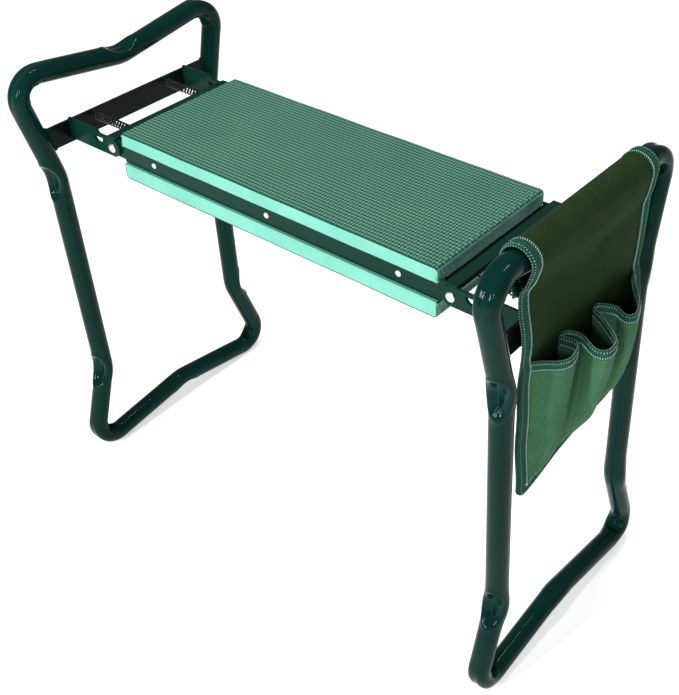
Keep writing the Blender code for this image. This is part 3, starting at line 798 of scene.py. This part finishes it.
def make_pad(node, name, up):
    """Foam slab whose embossed skin covers one face and wraps down both ends."""
    low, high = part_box(node)
    half_y = (high.y - low.y) / 2 + (0.0 if up > 0 else LEDGE)
    face_z, base_z = (high.z, low.z) if up > 0 else (low.z, high.z)
    thick = high.z - low.z
    shell = Shell()
    points = pad_skin(shell, middle(node).x, half_x(node), half_y, face_z, thick, up)
    for side_y, column in ((-1, 0), (1, -1)):
        pad_side(shell, points[:, column], side_y, base_z, thick, up)
    base_x = np.linspace(points[0, 0, 0], points[-1, 0, 0], 60)
    base_y = np.linspace(-half_y + 0.5 * MM, half_y - 0.5 * MM, 24)
    x, y = np.meshgrid(base_x, base_y, indexing="ij")
    shell.grid(np.stack([x, y, np.full_like(x, base_z)], -1), 0, flip=up > 0)
    obj = shell.build(name, [CUT_FOAM, FOAM_SKIN, FOAM_WRAP], "eva_foam")
    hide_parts(node)
    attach(obj, "seat")


# ---- cloth sheets
class Cloth:
    """A sheet known by its flat coordinates (u, v), in metres, over a table of points."""

    def __init__(self, table, u, v):
        self.table, self.u, self.v = table, np.asarray(u, float), np.asarray(v, float)

    def at(self, u, v):
        u, v = np.broadcast_arrays(np.asarray(u, float), np.asarray(v, float))
        i = np.clip(np.searchsorted(self.u, u) - 1, 0, len(self.u) - 2)
        j = np.clip(np.searchsorted(self.v, v) - 1, 0, len(self.v) - 2)
        a = ((u - self.u[i]) / (self.u[i + 1] - self.u[i]))[..., None]
        b = ((v - self.v[j]) / (self.v[j + 1] - self.v[j]))[..., None]
        t = self.table
        return ((t[i, j] * (1 - a) + t[i + 1, j] * a) * (1 - b)
                + (t[i, j + 1] * (1 - a) + t[i + 1, j + 1] * a) * b)

    def normal(self, u, v):
        d = 0.8 * MM
        du = self.at(u + d, v) - self.at(u - d, v)
        dv = self.at(u, v + d) - self.at(u, v - d)
        return unit(np.cross(du, dv))


CLOTH_THICK = 0.9 * MM
TAPE_THICK = 0.35 * MM
TAPE_WIDE = 12.5 * MM
TAPE_LIFT = 1.0 * MM
STITCH = 1.9 * MM         # pitch of the stitches along a seam
STITCH_HALF = 0.95 * MM   # half their width across it
THREAD_R = 0.34 * MM
# a thread's rings: (share of its length, share of its radius)
THREAD_RINGS = [(-0.03, 0.25), (0.06, 0.8), (0.28, 1.0), (0.72, 1.0), (0.94, 0.8), (1.03, 0.25)]
THREAD_SIDES = 6
# a tape's section from its fold to its hem: (distance into the cloth, share of its lift)
TAPE_FOLD = [(-0.9 * MM, 0.0), (-0.75 * MM, 0.5), (-0.3 * MM, 0.85), (0.4 * MM, 1.0)]
TAPE_HEM = 0.72


def border_frame(border):
    """Directions into the cloth, which lies to the right of travel with v drawn upwards."""
    forward = unit(np.gradient(border, axis=0))
    return np.stack([forward[:, 1], -forward[:, 0]], 1)


def tape_over(cloth, border, name, lift=TAPE_LIFT, wide=TAPE_WIDE, extra=0.0):
    """Binding tape folded over a border, a line of (u, v); extra lifts its outer half."""
    inward = border_frame(border)
    flat = [(depth, 1.0) for depth in np.linspace(1.6 * MM, wide - 0.5 * MM, 7)]
    half = TAPE_FOLD + flat + [(wide, TAPE_HEM)]
    profile = [(depth, -rise) for depth, rise in half[::-1]] + half[1:]
    pucker = 1 + 0.10 * np.sin(np.arange(len(border)) * 1.9)
    rows = []
    for depth, rise in profile:
        u, v = (border + inward * depth).T
        height = rise * (lift * pucker + (extra if rise < 0 else 0.0))
        rows.append(cloth.at(u, v) + cloth.normal(u, v) * height[:, None])
    across = run_along(np.array(profile) * (1.0, lift))
    along = run_along(border)
    s, t = np.meshgrid(across, along, indexing="ij")
    shell = Shell()
    shell.grid(np.array(rows), uv=np.stack([s + t, s - t], -1) * math.sqrt(0.5))
    return add_piece(shell, name, TAPE_CLOTH, "bag_cloth", "right_frame", solidify=TAPE_THICK)


def add_stitches(name, starts, ends):
    """One short round thread between each pair of points."""
    along = unit(ends - starts)
    helper = np.where(np.abs(along[:, 2:]) < 0.8, [[0, 0, 1.0]], [[1.0, 0, 0]])
    side = unit(np.cross(along, helper))[:, None]
    other = np.cross(along[:, None], side)
    angle = round_angles(THREAD_SIDES)[None, :, None]
    around = side * np.cos(angle) + other * np.sin(angle)
    rings = []
    for share, fat in THREAD_RINGS:
        centre = starts + (ends - starts) * share
        rings.append(centre[:, None] + THREAD_R * fat * around)
    shell = Shell()
    for thread in np.stack(rings, 1):
        first = shell.count
        shell.grid(thread, wrap_cols=True)
        shell.cap(range(first + THREAD_SIDES - 1, first - 1, -1))
        shell.cap(range(shell.count - THREAD_SIDES, shell.count))
    return add_piece(shell, name, THREAD, "bag_cloth", "right_frame")


def border_stitches(cloth, border, name, lift=TAPE_LIFT, wide=TAPE_WIDE, extra=0.0):
    """Slanted stitches along the tape's inner edge and whip stitches over its fold."""
    run = run_along(border)
    inward = border_frame(border)
    top = lift + 0.32 * MM

    def on_face(place, depth, face, height):
        base = np.stack([np.interp(place, run, column) for column in border.T], 1)
        into = unit(np.stack([np.interp(place, run, column) for column in inward.T], 1))
        u, v = (base + into * np.reshape(depth, (-1, 1))).T
        if face < 0 and height > lift:
            height = height + np.interp(place, run, np.broadcast_to(extra, run.shape))
        out = np.broadcast_to(face * height, place.shape)[:, None]
        return cloth.at(u, v) + cloth.normal(u, v) * out

    starts, ends = [], []
    for face in (1, -1):
        places = np.arange(2 * MM, run[-1] - STITCH, STITCH)
        depth = wide - 2.2 * MM + 0.15 * MM * np.sin(places * 900)
        starts.append(on_face(places, depth + STITCH_HALF, face, top))
        ends.append(on_face(places + STITCH * 0.5, depth - STITCH_HALF, face, top))
        places = np.arange(1.5 * MM, run[-1] - STITCH, STITCH * 1.25)
        starts.append(on_face(places, -1.25 * MM, face, 0.10 * MM))
        ends.append(on_face(places + 1.2 * MM, 2.2 * MM, face, top))
    return add_stitches(name, np.vstack(starts), np.vstack(ends))


# ---- tool bag
BAR = LOOP_X["right"]
BAG_FRONT, BAG_REAR = BAG_LOW.y, BAG_HIGH.y
BAG_BOTTOM = BAG_LOW.z - 12 * MM      # the cloth sags a little below the plain solid
BAG_CORNER_R = 40 * MM
BAG_FRONT_R = 9 * MM
HEM_SLOPE = 0.11          # the bottom edge climbs this much towards the rear
FOLD_R = 15 * MM          # loose fold round the bar, at mid thickness
FOLD_Z = BAG_HIGH.z - FOLD_R - CLOTH_THICK / 2
FLAP_Z = 456 * MM
MOUTH_Z = 388 * MM
EDGE_OVER_POCKET = 2.4 * MM      # the edge binding also covers the pockets' side edges
NECK_DROP = 29.6 * MM
NECK_FLAP_X = -2.0 * MM
REAR_SPREAD = 6 * MM      # the rear edge stands this far behind the CAD's
# how far the hanging side stands out from the loop plane, in mm, by height: the side edges curl
HANG_Z = [246, 277, 328, 353, 364, 380, 396, 405, 430, 455, 470]
HANG_FRONT = [8.5, 7.5, 6.0, 6.0, 6.0, 6.2, 8.0, 9.5, 7.5, 3.0, 6.0]
HANG_MIDDLE = [4.5, 4.5, 4.5, 4.5, 4.5, 4.5, 5.0, 5.2, 5.5, 5.8, 6.0]
HANG_REAR = [5.0, 5.0, 6.0, 8.0, 9.0, 6.0, 6.5, 7.5, 8.5, 9.0, 10.0]


def bar_axis_z(y):
    """Height of the handle bar's centreline, which dips in the middle."""
    top = LOOP[LOOP[:, 1] > HANDLE_MID_Z - 2 * MM]
    order = np.argsort(top[:, 0])
    return np.interp(y, top[order, 0], top[order, 1])


def hang_x(y, z):
    """How far the hanging side stands out from the loop plane."""
    front = smooth_step(20 * MM, 88 * MM, -y)
    rear = smooth_step(30 * MM, 88 * MM, y)
    centre = np.interp(z / MM, HANG_Z, HANG_MIDDLE)
    out = centre + front * (np.interp(z / MM, HANG_Z, HANG_FRONT) - centre)
    out = out + rear * (np.interp(z / MM, HANG_Z, HANG_REAR) - centre)
    return out * MM


def bag_section(y, axis_z):
    """Mid-thickness line of the cloth at this y: flap hem, neck, over the bar, neck, hem."""
    neck_z = axis_z - NECK_DROP

    def on_fold(degrees, centre_z):
        angle = math.radians(degrees)
        return FOLD_R * math.cos(angle), centre_z + FOLD_R * math.sin(angle)

    flap = [(NECK_FLAP_X, FLAP_Z), (NECK_FLAP_X - 0.4 * MM, (FLAP_Z + neck_z) / 2),
            (NECK_FLAP_X, neck_z)]
    fold = [on_fold(degrees, axis_z) for degrees in (202, 191, 180)]
    fold += [on_fold(degrees, FOLD_Z) for degrees in range(168, 0, -12)]
    fold += [on_fold(degrees, axis_z) for degrees in (0, -9, -18)]
    fold.append(((FOLD_R + hang_x(y, neck_z)) * 0.50, axis_z - NECK_DROP * 0.62))
    hanging = [(hang_x(y, z), z) for z in np.linspace(neck_z, BAG_BOTTOM - 8 * MM, 14)]
    return np.array(flap + fold + hanging)


def make_panel_cloth():
    """Table of the panel: u runs along Y, v runs down from the top of the fold."""
    ys = np.linspace(BAG_FRONT - 4 * MM, BAG_REAR + 4 * MM, 97)
    vs = np.arange(-95 * MM, 300 * MM, 1.5 * MM)
    table = np.zeros((len(ys), len(vs), 3))
    for row, y, axis_z in zip(table, ys, bar_axis_z(ys)):
        line = spline(bag_section(y, axis_z), 8)
        along = run_along(line)
        from_top = along - along[np.argmax(line[:, 1])]
        row[:, 0] = BAR + np.interp(vs, from_top, line[:, 0])
        row[:, 1] = y + REAR_SPREAD * smooth_step(0.0, BAG_REAR, y)
        row[:, 2] = np.interp(vs, from_top, line[:, 1])
    hanging = smooth_step(30 * MM, 60 * MM, vs)
    table[..., 0] += 0.6 * MM * lumps(table, 55 * MM, 12) * hanging
    return Cloth(table, ys, vs)


def fold_length(cloth, y, z, outer=True):
    """Flat v at which the cloth passes height z on the outer or inner side."""
    sample = cloth.v[cloth.v > 0] if outer else -cloth.v[cloth.v < 0][::-1]
    heights = cloth.at(np.full(len(sample), y), sample if outer else -sample)[:, 2]
    return float(np.interp(-z, -heights, sample)) * (1 if outer else -1)


def hem_rise(y):
    return HEM_SLOPE * np.maximum(y - BAG_FRONT - BAG_FRONT_R, 0.0)


def rounded_bottom(y):
    """Height of the bottom edge above its lowest point, but for the small front corner."""
    over = np.clip(y - (BAG_REAR - BAG_CORNER_R), 0, BAG_CORNER_R)
    return hem_rise(y) + BAG_CORNER_R - np.sqrt(BAG_CORNER_R ** 2 - over ** 2)


def corner_arc(edge_y, radius, hem_v, degrees):
    """Points of a rounded corner; radius is negative at the rear edge."""
    angles = np.radians(degrees)
    y = edge_y + radius * (1 - np.sin(angles))
    return list(zip(y, hem_v - abs(radius) * (1 - np.cos(angles))))


def panel_outline(hem_v, flap_v):
    """The cut's outline in flat coordinates: front edge down, bottom, rear edge up."""
    line = [(BAG_FRONT, flap_v), (BAG_FRONT, hem_v - BAG_FRONT_R - 1 * MM)]
    line += corner_arc(BAG_FRONT, BAG_FRONT_R, hem_v, np.linspace(90, 0, 7))
    line += corner_arc(BAG_REAR, -BAG_CORNER_R, hem_v, np.linspace(0, 90, 14))
    line += [(BAG_REAR, hem_v - BAG_CORNER_R - 1 * MM), (BAG_REAR, flap_v)]
    line = np.array(line)
    line[2:-1, 1] -= hem_rise(line[2:-1, 0])
    return respaced(line, int(run_along(line)[-1] / (1.6 * MM)))[0]


def make_panel(cloth):
    hem_v = fold_length(cloth, 0.0, BAG_BOTTOM)
    flap_v = fold_length(cloth, 0.0, FLAP_Z, outer=False)
    ys = np.linspace(BAG_FRONT, BAG_REAR, 116)
    over = np.clip(BAG_FRONT + BAG_FRONT_R - ys, 0, BAG_FRONT_R)
    bottom = hem_v - rounded_bottom(ys) - BAG_FRONT_R + np.sqrt(BAG_FRONT_R ** 2 - over ** 2)
    v = flap_v + (bottom[None, :] - flap_v) * np.linspace(0, 1, 210)[:, None]
    u = np.broadcast_to(ys, v.shape)
    shell = Shell()
    shell.grid(cloth.at(u, v), uv=np.stack([u, v], -1))
    obj = add_piece(shell, "bag_main_panel", PANEL_CLOTH, "bag_cloth", "right_frame", "bag_panel",
                    CLOTH_THICK)
    outline = panel_outline(hem_v, flap_v)
    mouth_v = fold_length(cloth, 0.0, MOUTH_Z)
    extra = EDGE_OVER_POCKET * smooth_step(mouth_v - 8 * MM, mouth_v + 4 * MM, outline[:, 1])
    flap_hem = np.stack([ys[::-1], np.full(len(ys), flap_v)], 1)
    pieces = [
        tape_over(cloth, outline, "bag_edge_binding", extra=extra),
        border_stitches(cloth, outline, "bag_edge_stitches", extra=extra),
        tape_over(cloth, flap_hem, "bag_flap_binding", lift=1.2 * MM),
    ]


# mouth of each pocket seen from above: (distance out from the panel, y), in millimetres
FRONT_MOUTH = [(0.2, -85), (1.2, -79.5), (9.5, -70), (16.5, -64), (21.5, -55), (21.5, -46),
               (19, -37.5), (16, -33.5), (12.5, -33), (6.5, -35), (0.6, -37)]
MIDDLE_MOUTH = [(0.6, -36), (0.9, -31), (4, -26), (10, -23), (17, -23), (23, -26), (31, -29),
                (37, -28), (41, -23), (41, -13), (38, -6), (32, -1), (22, 5), (14, 10), (8, 12),
                (2.5, 15.5)]
REAR_MOUTH = [(2.5, 16.5), (2.8, 20.5), (7, 25), (17, 30), (22.5, 28), (29, 27), (32.5, 31),
              (33, 37), (27, 51), (19, 62), (11, 70), (3.5, 80), (0.4, 86)]
# mouth, y of the front and rear seams, height of the mouth at each seam
POCKETS = {
    "front": (FRONT_MOUTH, -85 * MM, -37 * MM, (390 * MM, 390 * MM)),
    "middle": (MIDDLE_MOUTH, -36 * MM, 20 * MM, (390 * MM, 390 * MM)),
    "rear": (REAR_MOUTH, 21 * MM, 86 * MM, (390 * MM, 388 * MM)),
}
POCKET_THICK = 0.8 * MM
POCKET_LIFT = 1.3 * MM
POCKET_TURN = 0.70          # share of the depth at which a pocket begins to taper to its hem
POCKET_BELLY = 9.5 * MM
POCKET_TAPE = {"lift": 0.95 * MM, "wide": 10 * MM}
CREASE_RUN = (0.54, 0.84)   # direction of the front pocket's crease: to the rear, up


def crease(u, height):
    """Low ridge and dip that run up from the front pocket's lower front corner."""
    right, up = u - 6 * MM, height - 5 * MM
    away = right * CREASE_RUN[1] - up * CREASE_RUN[0]
    reach = right * CREASE_RUN[0] + up * CREASE_RUN[1]
    along = smooth_step(2 * MM, 14 * MM, reach) * (1 - smooth_step(40 * MM, 78 * MM, reach))
    ridge = 3.4 * MM * bell(away / (2.6 * MM))
    dip = 2.4 * MM * bell((away - 7.0 * MM) / (4.5 * MM))
    return (ridge - dip) * along


def make_pocket_cloth(mouth, y_low, y_high, mouth_z, creased):
    """Table of one pocket: u along its mouth, v down from the mouth to the hem."""
    line, length = respaced(spline(np.array(mouth) * MM, 10), 120)
    us = np.linspace(0, length, 120)
    share = np.linspace(0, 1, 72)
    foot = y_low + (y_high - y_low) * us / length
    top = np.interp(us, [0, length], mouth_z) - 5.0 * MM * line[:, 0] / (40 * MM)
    full = np.sin(math.pi * np.clip(us / length, 0, 1)) ** 0.48
    belly = POCKET_BELLY * full * (1 - 0.65 * smooth_step(-50 * MM, -85 * MM, foot))
    turn = np.clip((share - POCKET_TURN) / (1 - POCKET_TURN), 0, 1)
    taper = np.cos(turn * math.pi / 2) ** 0.8
    foot_z = BAG_BOTTOM + 1 * MM + rounded_bottom(foot)
    table = np.zeros((len(us), len(share), 3))
    for i, row in enumerate(table):
        out = (line[i, 0] * (1 - share ** 1.35) + belly[i] * share ** 0.8) * taper
        row[:, 1] = foot[i] + (line[i, 1] - foot[i]) * (1 - share) ** 0.9
        row[:, 2] = top[i] + (foot_z[i] - top[i]) * share
        row[:, 0] = BAR + hang_x(row[:, 1], row[:, 2]) + POCKET_LIFT + np.maximum(out, 0)
    depth = MOUTH_Z - BAG_BOTTOM + 2 * MM - hem_rise((y_low + y_high) / 2)
    fade = np.sin(math.pi * np.clip(share * 1.04, 0, 1))[None, :] * full[:, None]
    table[..., 0] += 0.9 * MM * lumps(table * (1.0, 1.0, 0.16), 15 * MM, 15) * fade
    table[..., 0] += 0.4 * MM * lumps(table, 22 * MM, 16) * fade
    if creased:
        table[..., 0] += crease(us[:, None], depth * (1 - share)[None, :])
    return Cloth(table, us, share * depth), length, depth


def make_pockets():
    for label, (mouth, y_low, y_high, mouth_z) in POCKETS.items():
        creased = label == "front"
        cloth, length, depth = make_pocket_cloth(mouth, y_low, y_high, mouth_z, creased)
        u, v = np.meshgrid(np.linspace(0, length, 120), np.linspace(0, depth, 90))
        shell = Shell()
        shell.grid(cloth.at(u, v), uv=np.stack([u, v], -1), flip=True)
        obj = add_piece(shell, f"bag_{label}_pouch", POCKET_CLOTH, "bag_cloth", "right_frame",
                        f"bag_{label}_pocket", POCKET_THICK)
        border = np.stack([np.linspace(length, 0, 150), np.zeros(150)], 1)
        tape = tape_over(cloth, border, f"bag_{label}_pouch_binding", **POCKET_TAPE)
        seam = border_stitches(cloth, border, f"bag_{label}_pouch_stitches", **POCKET_TAPE)


# ---- carried CAD nodes
def finish_node(node, material, bevel=0.4 * MM):
    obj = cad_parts[node]
    obj.data.materials.clear()
    obj.data.materials.append(material)
    if bevel:
        modifier = obj.modifiers.new("soft_edges", "BEVEL")
        modifier.width = bevel
        modifier.segments = 2
        modifier.limit_method = "ANGLE"
        modifier.angle_limit = math.radians(40)
        modifier.harden_normals = True


def finish_carried_nodes():
    for end in SIDES:
        # the cross bars get the near-black enamel, as painted shade
        finish_node(f"{end}_cross_bar", CROSS_BAR_SHADE_ENAMEL)
        finish_node(f"{end}_lock_bar", BRACKET_ENAMEL)
        finish_node(f"{end}_end_member", BRACKET_ENAMEL, 0.3 * MM)
        for label in ENDS:
            finish_node(f"{end}_{label}_ear", BRACKET_ENAMEL, 0.35 * MM)
    for label in ENDS:
        finish_node(f"{label}_rail", BRACKET_ENAMEL, 0.3 * MM)
    finish_node("core_board", BOARD, 0.0)


# ---- floor, light, camera
CAMERA_PLACE = (0.66145, -0.6834, 0.9676)
CAMERA_AZIMUTH = math.radians(39.90)
CAMERA_ELEVATION = math.radians(36.28)
CAMERA_ROLL = math.radians(-1.77)
SENSOR = 36.0
LENS = 58.42
SHIFT = (-0.1031, -0.0577)
FLOOR_REACH = 8.0
WORLD_STRENGTH = 0.36
LIGHT_TARGET = (0.0, 0.0, 0.30)
# place, size and power of each area light
LIGHTS = {
    "front_softbox": ((-0.60, -2.35, 1.20), (0.34, 0.85), 15.5),
    "front_strip": ((-0.20, -2.45, 1.25), (0.10, 0.60), 31.0),
    "top_softbox": ((0.1, 0.3, 2.5), (0.16, 0.80), 22.0),
    "side_softbox": ((0.95, -2.25, 1.45), (0.10, 0.50), 16.5),
}


def make_floor():
    mesh = bpy.data.meshes.new("floor")
    signs = [(-1, -1), (1, -1), (1, 1), (-1, 1)]
    corners = [(x * FLOOR_REACH, y * FLOOR_REACH, 0) for x, y in signs]
    mesh.from_pydata(corners, [], [(0, 1, 2, 3)])
    f = Finish("pale_floor", 0.6, Specular_IOR_Level=0.1, Emission_Strength=0.48,
               Emission_Color=(1.0, 1.0, 1.0, 1.0))
    f.color(f.mottle(3.0, 2.0, (0.90, 0.90, 0.90), (0.92, 0.92, 0.92)))
    mesh.materials.append(f.material)
    floor = bpy.data.objects.new("floor", mesh)
    bpy.context.scene.collection.objects.link(floor)


def make_lights():
    world = bpy.data.worlds.new("studio")
    world.use_nodes = True
    background = world.node_tree.nodes["Background"]
    background.inputs["Color"].default_value = (1.0, 1.0, 1.0, 1.0)
    background.inputs["Strength"].default_value = WORLD_STRENGTH
    bpy.context.scene.world = world
    for name, (place, size, power) in LIGHTS.items():
        light = bpy.data.lights.new(name, "AREA")
        light.shape = "RECTANGLE"
        light.size, light.size_y = size
        light.energy = power
        obj = bpy.data.objects.new(name, light)
        obj.location = place
        obj.rotation_mode = "QUATERNION"
        aim = Vector(LIGHT_TARGET) - Vector(place)
        obj.rotation_quaternion = aim.to_track_quat("-Z", "Y")
        bpy.context.scene.collection.objects.link(obj)


def make_camera():
    data = bpy.data.cameras.new("camera")
    data.sensor_fit = "AUTO"
    data.sensor_width = SENSOR
    data.lens = LENS
    data.shift_x, data.shift_y = SHIFT
    data.clip_start, data.clip_end = 0.05, 50.0
    camera = bpy.data.objects.new("camera", data)
    az, el = CAMERA_AZIMUTH, CAMERA_ELEVATION
    back = Vector((math.sin(az) * math.cos(el), -math.cos(az) * math.cos(el), math.sin(el)))
    level_right = Vector((0, 0, 1)).cross(back).normalized()
    level_up = back.cross(level_right)
    right = math.cos(CAMERA_ROLL) * level_right + math.sin(CAMERA_ROLL) * level_up
    up = back.cross(right)
    camera.location = CAMERA_PLACE
    camera.rotation_mode = "QUATERNION"
    camera.rotation_quaternion = Matrix((right, up, back)).transposed().to_quaternion()
    bpy.context.scene.collection.objects.link(camera)
    bpy.context.scene.camera = camera


# ---- assembly
for end_name in SIDES:
    make_tube_loop(end_name)
    make_welds(end_name)
    make_springs(end_name)
make_rivets()
for end_name in SIDES:
    make_pivots(end_name)
make_pad("upper_foam_pad", "upper_pad_body", 1)
make_pad("lower_foam_pad", "lower_pad_body", -1)
make_panel(make_panel_cloth())
make_pockets()
finish_carried_nodes()
make_floor()
make_lights()
make_camera()
bpy.context.scene.view_settings.view_transform = "Standard"
